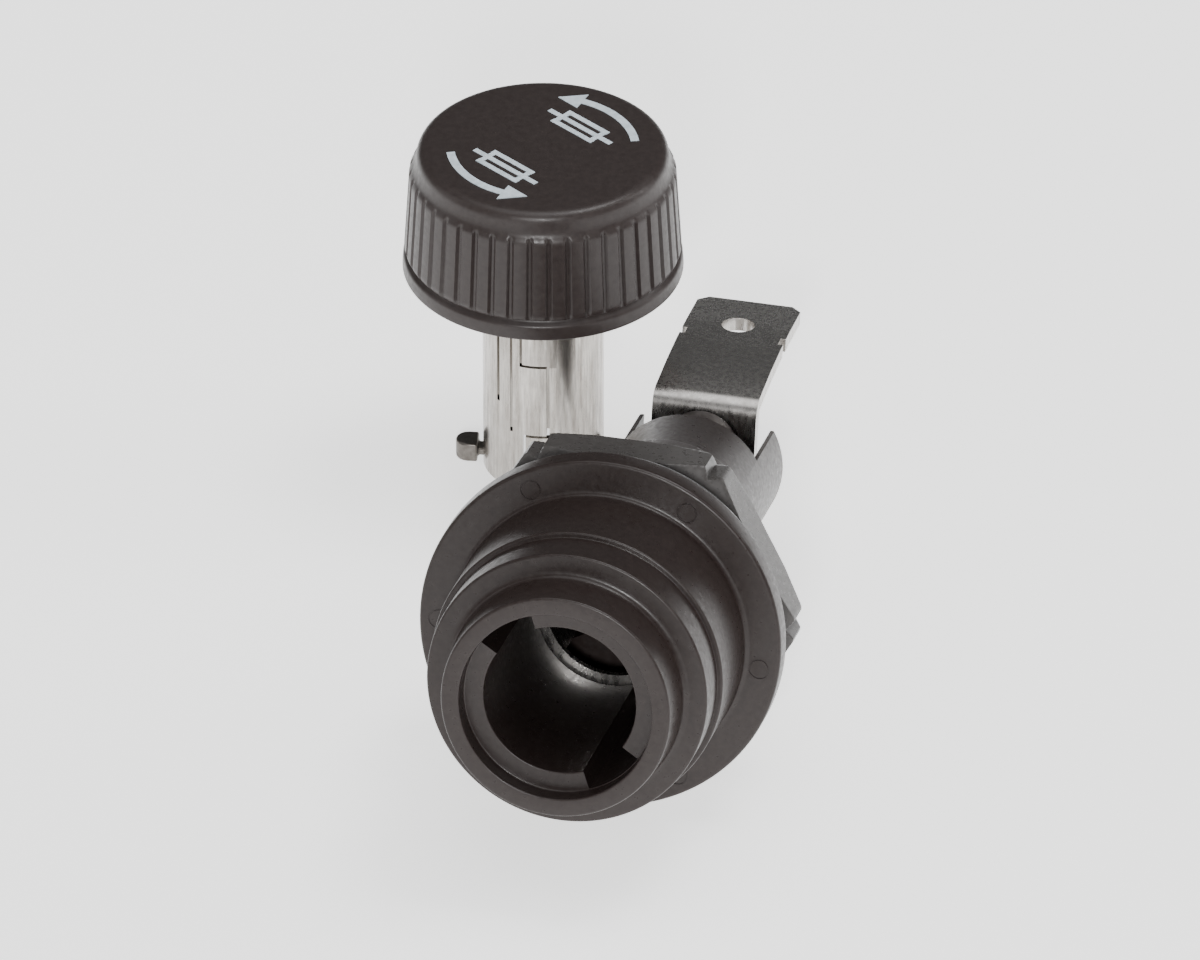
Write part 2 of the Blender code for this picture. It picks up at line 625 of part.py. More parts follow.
def seam_cutters(parent):
    """The rolled sleeve's stepped seam and the slits beside it, facing local -Y.

    A span is (low X, high X, low Z, high Z) in millimetres, along the middle of its slit.
    """
    spans = [(-1.0, -1.0, 9.0, 19.0), (-1.0, 0.62, 9.0, 9.0), (0.7, 1.05, 4.0, 9.0),
             (-0.8, 1.05, 4.0, 4.0), (-0.8, -0.8, -1.0, 4.0), (-1.6, -1.6, 4.2, 15.0),
             (-2.43, -2.43, 6.0, 15.0)]
    cutters = []
    for x_low, x_high, z_low, z_high in spans:
        cutters.append(box("seam_cut",
                           (x_low * MM - SEAM_SLIT, -4.4 * MM, z_low * MM - SEAM_SLIT),
                           (x_high * MM + SEAM_SLIT, -1.9 * MM, z_high * MM + SEAM_SLIT), parent))
    return cutters


def carrier_sleeve(parent):
    lip = SLEEVE_TOP - LIP_THICKNESS
    profile = [(LIP_HOLE, SLEEVE_TOP), (LIP_RADIUS, SLEEVE_TOP), (LIP_RADIUS, lip),
               (SLEEVE_RADIUS, lip), (SLEEVE_RADIUS, 0.0), (SLEEVE_BORE, 0.0),
               (SLEEVE_BORE, lip), (LIP_HOLE, lip)]
    sleeve = turned("carrier_sleeve", profile, parent)
    cut(sleeve, *seam_cutters(parent))
    notch = box("lug_slots", (-5.0 * MM, -0.75 * MM, -MM), (5.0 * MM, 0.75 * MM, 1.15 * MM), parent)
    cut(sleeve, notch)
    return finish(sleeve, NICKEL)


def bayonet_pin(name, turn, parent):
    """Rounded lug outside the sleeve with a shank through the sleeve's wall."""
    half = LUG_WIDTH / 2
    outline = [(LUG_ROOT, -half), *arc((LUG_TIP - half, 0), half, -90, 90, 8), (LUG_ROOT, half)]
    lug = plate_outline(name, outline, LUG_HEIGHT, parent)
    middle = LUG_FLOOR + LUG_HEIGHT / 2
    shank = box(name + "_shank", (3.3 * MM, -0.42 * MM, -0.35 * MM),
                (LUG_ROOT + 0.25 * MM, 0.42 * MM, 0.2 * MM), parent)
    join(lug, shank)
    for thing in (lug, shank):
        thing.matrix_local = Matrix.Rotation(turn, 4, 'Z') @ Matrix.Translation((0, 0, middle))
    return finish(lug, DARK_STEEL)


def contact_cup(parent):
    """Sprung button that the front cap of the fuse presses on."""
    boss, boss_top = 1.2 * MM, CUP_BACK + 0.5 * MM
    profile = [(0.0, boss_top), (boss, boss_top), (boss, CUP_BACK),
               (CUP_RADIUS, CUP_BACK), (CUP_RADIUS, CUP_FRONT + 0.6 * MM),
               (CUP_RADIUS - 0.4 * MM, CUP_FRONT + 0.2 * MM), (0.0, CUP_FRONT)]
    return finish(turned("contact_cup", profile, parent, SMALL_STEPS, ring=False), TIN)


def cap_spring(parent):
    low = CUP_BACK + GAP + SPRING_WIRE / 2
    high = SPRING_SEAT - GAP - SPRING_WIRE / 2
    spring = coil("cap_spring", 1.75 * MM, 2.6 * MM, low, high, 3.5, parent)
    return finish(spring, SPRING_STEEL)


def spring_seat(parent):
    top = SPRING_SEAT + 0.4 * MM
    profile = [(0.0, top), (CUP_RADIUS, top), (CUP_RADIUS, SPRING_SEAT), (0.0, SPRING_SEAT)]
    return finish(turned("spring_seat", profile, parent, SMALL_STEPS, ring=False), TIN)


# ---------------------------------------------------------------- model

clear_scene()
PARTS = new_collection("cartridge_fuse_holder")
CUTTERS = new_collection("cutters")

PHENOLIC = make_material("phenolic", (0.030, 0.024, 0.022), 0.0, 0.38)
NUT_PLASTIC = make_material("nut_plastic", (0.045, 0.042, 0.042), 0.0, 0.35)
RUBBER = make_material("rubber", (0.020, 0.020, 0.021), 0.0, 0.75)
TIN = make_material("tin_plate", (0.56, 0.55, 0.53), 1.0, 0.30)
NICKEL = make_material("nickel_plate", (0.66, 0.64, 0.60), 1.0, 0.28)
STEEL = make_material("zinc_steel", (0.50, 0.50, 0.50), 1.0, 0.40)
SPRING_STEEL = make_material("spring_steel", (0.42, 0.42, 0.43), 1.0, 0.30)
DARK_STEEL = make_material("dark_steel", (0.16, 0.15, 0.14), 1.0, 0.42)

holder_axis = frame("holder_axis", HOLDER_PLACE, (math.pi / 2 - HOLDER_TILT, 0.0, HOLDER_TURN))
for make_piece in (holder_body, panel_gasket, lock_washer, hex_nut, side_contact, side_terminal,
                   side_rivet, rear_terminal, rear_rivet, rear_washer, rear_contact,
                   rear_spring):
    make_piece(holder_axis)

carrier_axis = frame("carrier_axis", CARRIER_PLACE, (0.0, 0.0, CARRIER_TURN))
for make_piece in (cap_knob, carrier_sleeve, contact_cup, cap_spring, spring_seat):
    make_piece(carrier_axis)
bayonet_pin("bayonet_pin_left", math.pi, carrier_axis)
bayonet_pin("bayonet_pin_right", 0.0, carrier_axis)
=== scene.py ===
"""Looks of a panel-mount cartridge fuse holder, with its bayonet cap standing beside it."""
import json
import math

import bmesh
import bpy
from mathutils import Matrix, Vector


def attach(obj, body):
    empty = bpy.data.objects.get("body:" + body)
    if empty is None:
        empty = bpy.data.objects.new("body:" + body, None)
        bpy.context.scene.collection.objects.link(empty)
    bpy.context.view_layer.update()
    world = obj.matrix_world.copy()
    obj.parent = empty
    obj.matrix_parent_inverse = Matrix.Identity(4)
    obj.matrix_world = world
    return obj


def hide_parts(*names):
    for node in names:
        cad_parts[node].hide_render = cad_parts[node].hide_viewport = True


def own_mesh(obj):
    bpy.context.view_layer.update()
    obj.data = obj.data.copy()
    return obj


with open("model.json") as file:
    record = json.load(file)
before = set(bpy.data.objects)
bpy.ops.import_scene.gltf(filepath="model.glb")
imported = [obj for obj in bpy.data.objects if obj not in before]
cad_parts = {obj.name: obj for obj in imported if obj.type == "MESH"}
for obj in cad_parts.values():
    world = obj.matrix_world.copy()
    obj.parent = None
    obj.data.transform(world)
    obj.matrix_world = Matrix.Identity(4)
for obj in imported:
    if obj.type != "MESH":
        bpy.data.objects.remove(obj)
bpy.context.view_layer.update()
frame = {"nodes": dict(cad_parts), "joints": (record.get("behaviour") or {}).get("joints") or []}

# Meshes are written in millimetres in two local frames, and placed by their object's matrix.
# Holder frame: +Z points out of the mouth, z = 0 is the flange's front face, X is level.
# Carrier frame: +Z is up, z = 0 is the open end of the sleeve.
MM = 0.001
NUT_PIVOT_DEPTH = 5.4            # the nut's joint is this far behind the flange's front face
CARRIER_TURN = math.radians(-5.5)

# Holder
FLANGE_RADIUS = 10.73
FLANGE_BACK = -1.6
WALL_RADIUS = 8.6
WALL_TOP = 5.91
RING_RADIUS = 8.26
RING_TOP = 8.57
COLLAR_RADIUS = 6.73
COLLAR_TOP = 11.52
RECESS_RADIUS = 5.65
RECESS_FLOOR = 10.36
CHAMBER_RADIUS = 6.4
CHAMBER_FRONT = -3.3
CHAMBER_END = -7.6
STEP_RADIUS = 5.5
STEP_END = -17.6
BARREL_RADIUS = 4.75
FUSE_BORE = 3.45
FUSE_BORE_END = -22.8
SLOT_FRONT = -23.6
CORE_END = -27.1
SHROUD_END = -28.6
THREAD_PITCH = 1.058
THREAD_MINOR = 7.35
THREAD_MAJOR = 7.9
THREAD_START = -2.1
THREAD_END = -10.0
KEYWAYS = (129.5, 309.5)         # degrees round the bore
KEYWAY_SPREAD = 37.0
KEYWAY_RADIUS = 5.6
BORE_RADIUS = 4.47
SIDE_ANGLE = 207.0               # where the side terminal sits round the barrel
RIVET_HOLE = 1.2
RIVET_SHANK = 0.9
RIVET_HEAD = 1.5
SIDE_RIVET_PLACE = -14.2
GASKET_FRONT = -2.02
GASKET_BACK = -2.68
WASHER_FRONT = -3.0
WASHER_BACK = -3.5
WASHER_TEETH = 10
HARDWARE_BORE = 8.2              # of the gasket, the lock washer and the nut
NUT_FLAT = 9.525                 # half of the 19.05 mm across flats
NUT_FRONT = -3.9
NUT_BACK = -6.9
NUT_BEVEL = 0.62

# Carrier
RIB_COUNT = 44
RIB_DEPTH = 0.16
RIB_START = 15.45
RIB_END = 20.8
KNOB_TOP = 22.4
KNOB_RIM = 14.1
SLEEVE_RADIUS = 3.63
SLEEVE_BORE = 3.25
SLEEVE_TOP = 20.6
SLIT_HALF_WIDTH = 0.08
MARK_RADIUS = 5.5                # of the curved arrows on the knob
WIRE_THICKNESS = 0.45


# ---------------------------------------------------------------- frames

def joint(name):
    return next(j for j in frame["joints"] if j["name"] == name)


def holder_matrix():
    """The holder frame, from the joint that the nut turns about."""
    spin = joint("nut_spin")
    out = -Vector(spin["axis"]).normalized()
    level = Vector((0, 0, 1)).cross(out).normalized()
    up = out.cross(level)
    turn = Matrix((level, up, out)).transposed().to_4x4()
    return Matrix.Translation(Vector(spin["pos_m"]) + out * NUT_PIVOT_DEPTH * MM) @ turn


def carrier_matrix():
    place = Vector(joint("cap_turn")["pos_m"])
    return Matrix.Translation((place.x, place.y, 0)) @ Matrix.Rotation(CARRIER_TURN, 4, 'Z')


HOLDER = holder_matrix()
CARRIER = carrier_matrix()


# ---------------------------------------------------------------- mesh tools

def filleted(corners, segments=5):
    """Outline with its corners rounded. A corner is (x, y, setback of the rounding)."""
    points = []
    for i, (x, y, setback) in enumerate(corners):
        corner = Vector((x, y))
        if not setback:
            points.append((x, y))
            continue
        before = Vector(corners[i - 1][:2])
        after = Vector(corners[(i + 1) % len(corners)][:2])
        start = corner + (before - corner).normalized() * setback
        end = corner + (after - corner).normalized() * setback
        for k in range(segments + 1):
            t = k / segments
            points.append(tuple((1 - t) ** 2 * start + 2 * t * (1 - t) * corner + t * t * end))
    return points


def new_piece(name, vertices, faces, place):
    mesh = bpy.data.meshes.new(name)
    mesh.from_pydata([tuple(c * MM for c in v) for v in vertices], [], faces)
    shape = bmesh.new()
    shape.from_mesh(mesh)
    bmesh.ops.recalc_face_normals(shape, faces=shape.faces)
    shape.to_mesh(mesh)
    shape.free()
    piece = bpy.data.objects.new(name, mesh)
    bpy.context.scene.collection.objects.link(piece)
    piece.matrix_world = place
    return piece


def turned(name, place, rows, columns=144, ring=True, reshape=None):
    """Rows of (radius, height) turned round local Z.

    A ring's last row joins its first. Otherwise the ends lie on the axis. reshape takes
    (radius, height, angle) and gives the point's own radius and height.
    """
    vertices, row_index = [], []
    for radius, height in rows:
        if radius < 1e-6:
            row_index.append([len(vertices)] * columns)
            vertices.append((0.0, 0.0, height))
            continue
        row_index.append(list(range(len(vertices), len(vertices) + columns)))
        for k in range(columns):
            angle = 2 * math.pi * k / columns
            r, z = reshape(radius, height, angle) if reshape else (radius, height)
            vertices.append((r * math.cos(angle), r * math.sin(angle), z))
    faces = []
    pairs = list(zip(row_index, row_index[1:] + ([row_index[0]] if ring else [])))
    for upper, lower in pairs:
        for k in range(columns):
            n = (k + 1) % columns
            corners = [upper[k], upper[n], lower[n], lower[k]]
            face = list(dict.fromkeys(corners))
            if len(face) > 2:
                faces.append(face)
    return new_piece(name, vertices, faces, place)


def extruded(name, place, outline, low, high):
    """A flat outline in local XY, carried from one height to another."""
    count = len(outline)
    vertices = [(x, y, low) for x, y in outline] + [(x, y, high) for x, y in outline]
    faces = [list(range(count)), list(range(count, 2 * count))]
    faces += [[k, (k + 1) % count, count + (k + 1) % count, count + k] for k in range(count)]
    return new_piece(name, vertices, faces, place)


def block(name, place, low, high):
    outline = [(low[0], low[1]), (high[0], low[1]), (high[0], high[1]), (low[0], high[1])]
    return extruded(name, place, outline, low[2], high[2])


def polar(radius, degrees, centre=(0.0, 0.0)):
    angle = math.radians(degrees)
    return centre[0] + radius * math.cos(angle), centre[1] + radius * math.sin(angle)


def arc(radius, start, end, count, centre=(0.0, 0.0)):
    """Points on an arc; the angles are in degrees."""
    return [polar(radius, start + (end - start) * i / count, centre) for i in range(count + 1)]


def cut(piece, cutters, operation='DIFFERENCE'):
    """Cuts the cutters out of a piece for good, and removes them."""
    for cutter in cutters:
        change = piece.modifiers.new("cut", 'BOOLEAN')
        change.object = cutter
        change.operation = operation
        change.solver = 'EXACT'
    bpy.context.view_layer.update()
    view = bpy.context.evaluated_depsgraph_get()
    mesh = bpy.data.meshes.new_from_object(piece.evaluated_get(view))
    piece.modifiers.clear()
    piece.data = mesh
    for cutter in cutters:
        bpy.data.objects.remove(cutter, do_unlink=True)


def copy_of(node, name):
    """A CAD node's shape with its flat faces whole again, ready for bevels."""
    mesh = frame["nodes"][node].data.copy()
    shape = bmesh.new()
    shape.from_mesh(mesh)
    bmesh.ops.remove_doubles(shape, verts=shape.verts, dist=0.002 * MM)
    bmesh.ops.dissolve_limit(shape, angle_limit=math.radians(1.0), verts=shape.verts,
                             edges=shape.edges)
    shape.to_mesh(mesh)
    shape.free()
    mesh.name = name
    piece = bpy.data.objects.new(name, mesh)
    bpy.context.scene.collection.objects.link(piece)
    return piece


def bevelled(piece, width, segments=3, angle=35.0):
    """Rounds the sharp edges of a piece."""
    change = piece.modifiers.new("edges", 'BEVEL')
    change.width = width * MM
    change.segments = segments
    change.limit_method = 'ANGLE'
    change.angle_limit = math.radians(angle)
    change.use_clamp_overlap = True


def finish(piece, material, body, slot, *nodes):
    """Smooth shading, material, body and the CAD nodes that the piece stands for; the slot is not
    used.
    """
    piece.data.materials.clear()
    piece.data.materials.append(material)
    piece.data.shade_smooth()
    piece.data.set_sharp_from_angle(angle=math.radians(32))
    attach(piece, body)
    if nodes:
        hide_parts(*nodes)
    return piece


# ---------------------------------------------------------------- materials

class Shading:
    """Short calls for the nodes of one procedural material."""

    def __init__(self, name, colour, metallic, roughness):
        self.material = bpy.data.materials.new(name)
        self.material.use_nodes = True
        self.tree = self.material.node_tree
        self.shader = self.tree.nodes["Principled BSDF"]
        self.shader.inputs["Base Color"].default_value = (*colour, 1.0)
        self.shader.inputs["Metallic"].default_value = metallic
        self.shader.inputs["Roughness"].default_value = roughness
        self.material.diffuse_color = (*colour, 1.0)
        self.bump_out = None

    def node(self, kind, **values):
        made = self.tree.nodes.new(kind)
        for key, value in values.items():
            if key in made.inputs:
                made.inputs[key].default_value = value
            else:
                setattr(made, key, value)
        return made

    def link(self, out, into):
        self.tree.links.new(out, into)

    def place(self, scale=(1.0, 1.0, 1.0)):
        """Object coordinates in millimetres, stretched by a scale."""
        coords = self.node("ShaderNodeTexCoord")
        mapping = self.node("ShaderNodeMapping")
        mapping.inputs["Scale"].default_value = tuple(s / MM for s in scale)
        self.link(coords.outputs["Object"], mapping.inputs["Vector"])
        return mapping.outputs["Vector"]

    def noise(self, frequency, detail=3.0, stretch=(1.0, 1.0, 1.0), roughness=0.55):
        made = self.node("ShaderNodeTexNoise", Scale=frequency, Detail=detail,
                         Roughness=roughness)
        self.link(self.place(stretch), made.inputs["Vector"])
        return made.outputs["Fac"]

    def span(self, value, low, high, to_low, to_high):
        made = self.node("ShaderNodeMapRange")
        for key, number in (("From Min", low), ("From Max", high), ("To Min", to_low),
                            ("To Max", to_high)):
            made.inputs[key].default_value = number
        made.clamp = True
        self.link(value, made.inputs["Value"])
        return made.outputs["Result"]

    def mix(self, factor, first, second):
        """Colour that goes from the first to the second as the factor goes from 0 to 1."""
        made = self.node("ShaderNodeMix", data_type='RGBA')
        self.link(factor, made.inputs["Factor"])
        colour_a, colour_b = made.inputs[6], made.inputs[7]
        for socket, colour in ((colour_a, first), (colour_b, second)):
            if isinstance(colour, tuple):
                socket.default_value = (*colour, 1.0)
            else:
                self.link(colour, socket)
        return made.outputs[2]                     # the node's colour result

    def colour(self, out):
        self.link(out, self.shader.inputs["Base Color"])

    def rough(self, out):
        self.link(out, self.shader.inputs["Roughness"])

    def bump(self, height, distance, strength=1.0):
        made = self.node("ShaderNodeBump", Strength=strength)
        made.inputs["Distance"].default_value = distance * MM
        self.link(height, made.inputs["Height"])
        if self.bump_out:
            self.link(self.bump_out, made.inputs["Normal"])
        self.bump_out = made.outputs["Normal"]
        self.link(self.bump_out, self.shader.inputs["Normal"])


def phenolic_material(name, dark, light, roughness, fleck=0.5, peel=0.6):
    """Moulded phenolic: mottled brown-black, a fine orange peel and pale moulding dust."""
    made = Shading(name, dark, 0.0, roughness)
    made.shader.inputs["Specular IOR Level"].default_value = 0.34
    mottle = made.mix(made.span(made.noise(2.6, 5.0), 0.3, 0.75, 0.0, 1.0), dark, light)
    dust = made.span(made.noise(9.0, 6.0, roughness=0.7), 0.66, 0.74, 0.0, fleck)
    made.colour(made.mix(dust, mottle, (0.16, 0.14, 0.125)))
    made.rough(made.span(made.noise(3.2, 5.0), 0.3, 0.75, roughness - 0.06, roughness + 0.12))
    made.bump(made.noise(2.2, 3.0), 0.010, min(0.5, peel))
    made.bump(made.noise(14.0, 4.0), 0.004, peel)
    return made.material


def rubber_material():
    made = Shading("gasket_rubber", (0.018, 0.018, 0.019), 0.0, 0.7)
    made.rough(made.span(made.noise(4.0, 4.0), 0.3, 0.7, 0.6, 0.82))
    made.colour(made.mix(made.noise(6.0, 5.0), (0.014, 0.014, 0.015), (0.034, 0.033, 0.033)))
    made.bump(made.noise(11.0, 5.0), 0.012, 0.7)
    return made.material


def plated_material(name, bright, dull, roughness, streak, streak_strength=0.5, spots=0.4):
    """Plated metal: streaks drawn out along one direction, stains and small dark spots."""
    made = Shading(name, bright, 1.0, roughness)
    lines = made.noise(3.0, 6.0, stretch=streak, roughness=0.65)
    stain = made.noise(0.55, 4.0)
    base = made.mix(made.span(lines, 0.3, 0.72, 0.0, streak_strength), bright, dull)
    base = made.mix(made.span(stain, 0.5, 0.75, 0.0, 0.35), base, dull)
    specks = made.span(made.noise(5.5, 5.0, roughness=0.7), 0.63, 0.72, 0.0, spots)
    made.colour(made.mix(specks, base, tuple(c * 0.22 for c in dull)))
    made.rough(made.span(lines, 0.3, 0.75, roughness - 0.07, roughness + 0.14))
    made.bump(lines, 0.004, 0.5)
    made.bump(made.noise(1.3, 3.0), 0.012, 0.35)
    return made.material


def ink_material():
    made = Shading("printed_ink", (0.62, 0.70, 0.76), 0.0, 0.5)
    made.colour(made.mix(made.span(made.noise(2.4, 5.0), 0.35, 0.7, 0.0, 1.0),
                         (0.66, 0.74, 0.80), (0.50, 0.58, 0.63)))
    made.bump(made.noise(5.0, 4.0), 0.006, 0.5)
    return made.material


def floor_material():
    made = Shading("bench_white", (0.86, 0.86, 0.85), 0.0, 0.62)
    made.colour(made.mix(made.noise(0.05, 2.0), (0.855, 0.855, 0.85), (0.875, 0.875, 0.87)))
    made.shader.inputs["Emission Color"].default_value = (1.0, 1.0, 0.995, 1.0)
    made.shader.inputs["Emission Strength"].default_value = 1.3
    return made.material


PHENOLIC = phenolic_material("phenolic", (0.018, 0.012, 0.011), (0.026, 0.019, 0.017), 0.32)
KNOB_PHENOLIC = phenolic_material("knob_phenolic", (0.027, 0.020, 0.019), (0.036, 0.028, 0.026),
                                  0.36, 0.7)
NUT_PLASTIC = phenolic_material("nut_plastic", (0.050, 0.046, 0.044), (0.070, 0.065, 0.062),
                                0.30, 0.2, 0.15)
RUBBER = rubber_material()
TIN = plated_material("tin_plate", (0.55, 0.53, 0.51), (0.34, 0.32, 0.30), 0.26,
                      (1.2, 1.2, 0.25), 0.6, 0.6)
NICKEL = plated_material("nickel_plate", (0.58, 0.555, 0.52), (0.26, 0.235, 0.21), 0.22,
                         (1.1, 1.1, 0.10), 1.0, 0.5)
ZINC = plated_material("zinc_steel", (0.56, 0.56, 0.57), (0.36, 0.36, 0.36), 0.36,
                       (1.0, 1.0, 1.0), 0.5, 0.3)
SPRING_WIRE = plated_material("spring_steel", (0.50, 0.50, 0.51), (0.30, 0.30, 0.30), 0.26,
                              (1.0, 1.0, 1.0), 0.4, 0.2)
DARK_STEEL = plated_material("dark_steel", (0.20, 0.185, 0.17), (0.10, 0.09, 0.08), 0.36,
                             (1.0, 1.0, 1.0), 0.7, 0.5)
INK = ink_material()


# ---------------------------------------------------------------- holder

def thread_depth(height, angle, start, end):
    """0 at the root and 1 at the crest of the helical thread, fading out at both ends."""
    turn = (height / THREAD_PITCH - angle / (2 * math.pi)) % 1.0
    wave = 1.0 - abs(2.0 * turn - 1.0)
    crest = min(1.0, max(0.0, (wave - 0.08) / 0.78))
    return crest * max(0.0, min(1.0, (start - height) / 0.5, (height - end) / 0.4))


def body_rows():
    """Outer side from the mouth to the shroud's end, then the stepped bore back to the mouth."""
    front = filleted([(RECESS_RADIUS, COLLAR_TOP, 0.13), (COLLAR_RADIUS, COLLAR_TOP, 0.17),
                      (COLLAR_RADIUS + 0.14, RING_TOP, 0.42), (RING_RADIUS, RING_TOP, 0.17),
                      (RING_RADIUS, WALL_TOP, 0.06), (WALL_RADIUS, WALL_TOP, 0.14),
                      (WALL_RADIUS, 0.0, 0.35), (FLANGE_RADIUS, 0.0, 0.24),
                      (FLANGE_RADIUS, FLANGE_BACK, 0.16), (THREAD_MINOR, FLANGE_BACK, 0.05)])
    count = int((THREAD_START - THREAD_END) / 0.1)
    thread = [(THREAD_MINOR, THREAD_START - (THREAD_START - THREAD_END) * i / count)
              for i in range(count + 1)]
    step = THREAD_END - 0.05
    rear = filleted([(THREAD_MINOR, step, 0.04), (STEP_RADIUS, step, 0.22),
                     (STEP_RADIUS, STEP_END, 0.16), (BARREL_RADIUS, STEP_END, 0.1),
                     (BARREL_RADIUS, SHROUD_END, 0.14), (RIVET_HOLE, SHROUD_END, 0.05),
                     (RIVET_HOLE, FUSE_BORE_END, 0.05), (FUSE_BORE, FUSE_BORE_END, 0.15),
                     (FUSE_BORE, CHAMBER_END, 0.12), (CHAMBER_RADIUS, CHAMBER_END, 0.12),
                     (CHAMBER_RADIUS, CHAMBER_FRONT, 0.12), (BORE_RADIUS, CHAMBER_FRONT, 0.06),
                     (BORE_RADIUS, RECESS_FLOOR, 0.10), (RECESS_RADIUS, RECESS_FLOOR, 0.10),
                     (RECESS_RADIUS, COLLAR_TOP - 0.2, 0.0)])
    # The thread's rows take the place of the half of each rounding that lies on their side,
    # and the last corner only gave the rounding before it a direction.
    return front[:-3] + [(THREAD_MINOR, FLANGE_BACK)] + thread + rear[3:-1]


def thread_shape(radius, height, angle):
    on_thread = abs(radius - THREAD_MINOR) < 1e-6 and THREAD_END <= height <= THREAD_START
    if not on_thread:
        return radius, height
    depth = thread_depth(height, angle, THREAD_START, THREAD_END)
    return THREAD_MINOR + (THREAD_MAJOR - THREAD_MINOR) * depth, height


def keyway_cutter(middle):
    """A curved slot beside the bore that lets one bayonet lug through."""
    half = KEYWAY_SPREAD / 2
    outline = arc(KEYWAY_RADIUS, middle - half, middle + half, 16)
    outline += arc(BORE_RADIUS - 0.5, middle + half, middle - half, 8)
    return extruded("keyway", HOLDER, outline, CHAMBER_FRONT - 0.1, RECESS_FLOOR + 0.25)


def shroud_cutters():
    """The space between the shroud's two walls, with the core that stands in it kept."""
    gap, floor, top, reach = 3.85, -3.1, 2.4, 6.0
    core_half_width, core_arch = 2.2, 1.5
    room = extruded("room", HOLDER,
                    [(-gap, floor), (gap, floor), (gap, top), (reach, top), (reach, reach),
                     (-reach, reach), (-reach, top), (-gap, top)], SHROUD_END - 0.5, CORE_END)
    core = [(core_half_width, floor - 0.01)]
    core += arc(core_half_width, 0, 180, 24, (0, core_arch)) + [(-core_half_width, floor - 0.01)]
    around = [(-gap, floor), (-gap, top), (-reach, top), (-reach, reach), (reach, reach),
              (reach, top), (gap, top), (gap, floor)]
    return [room, extruded("slots", HOLDER, around + core, CORE_END - 0.05, SLOT_FRONT)]


def turned_about(angle, height=0.0):
    """The holder frame turned so that local X points out of the barrel at an angle."""
    return HOLDER @ Matrix.Rotation(math.radians(angle), 4, 'Z') @ Matrix.Translation(
        (0, 0, height * MM))


def pointing_out(angle, height):
    """A frame on the bore's axis whose local Z points out of the barrel."""
    return turned_about(angle, height) @ Matrix.Rotation(math.pi / 2, 4, 'Y')


def ejector_rings():
    """Shallow rings that the ejector pins left on the flange's front face."""
    rings = []
    for angle in (60.0, -5.0, 118.0, 182.0, 238.0, 302.0):
        place = HOLDER @ Matrix.Translation((*polar(9.55 * MM, angle), 0))
        rings.append(turned("ring", place, [(0.62, 0.1), (0.62, -0.045), (0.52, -0.045),
                                            (0.52, 0.1)], 32))
    return rings


def make_body():
    body = turned("holder_shell", HOLDER, body_rows(), 240, reshape=thread_shape)
    cutters = [keyway_cutter(angle) for angle in KEYWAYS] + shroud_cutters() + ejector_rings()
    cutters.append(block("channel", turned_about(SIDE_ANGLE), (3.0, -1.85, -16.4),
                         (4.7, 1.85, CHAMBER_END + 0.1)))
    cutters.append(turned("hole", pointing_out(SIDE_ANGLE, SIDE_RIVET_PLACE),
                          [(0, 6.5), (RIVET_HOLE, 6.5), (RIVET_HOLE, 3.0), (0, 3.0)], 48, False))
    cut(body, cutters)
    bevelled(body, 0.07, 2, 40.0)
    finish(body, PHENOLIC, "holder", "phenolic", "holder_body")


def make_gasket():
    outer = 10.26
    rows = filleted([(HARDWARE_BORE, GASKET_FRONT, 0.12), (HARDWARE_BORE, GASKET_BACK, 0.12),
                     (outer, GASKET_BACK, 0.2), (outer, GASKET_FRONT, 0.2)])
    gasket = turned("gasket", HOLDER, rows, 180)
    finish(gasket, RUBBER, "holder", "rubber", "panel_gasket")


def make_lock_washer():
    """Internal teeth, each bent a little out of the washer's plane."""
    outer, root, tip = 9.9, 8.95, HARDWARE_BORE + 0.02

    def bent(radius, height, angle):
        phase = (angle * WASHER_TEETH / (2 * math.pi)) % 1.0
        in_notch = phase < 0.13 or phase > 0.87
        if radius > root:
            return radius, height
        twist = 0.0 if in_notch else (phase - 0.5) * 0.12 * (root - radius)
        return (root - 0.05 if in_notch else radius), height + twist

    back = [(outer, WASHER_FRONT - 0.05), (outer, WASHER_BACK + 0.05), (outer - 0.08, WASHER_BACK),
            (root + 0.01, WASHER_BACK), (8.7, WASHER_BACK + 0.02), (tip, WASHER_BACK + 0.04)]
    front = [(tip, WASHER_FRONT - 0.04), (8.7, WASHER_FRONT - 0.02), (root + 0.01, WASHER_FRONT),
             (outer - 0.08, WASHER_FRONT)]
    washer = turned("toothed_washer", HOLDER, back + front, 200, reshape=bent)
    finish(washer, ZINC, "washer", "zinc_steel", "lock_washer")


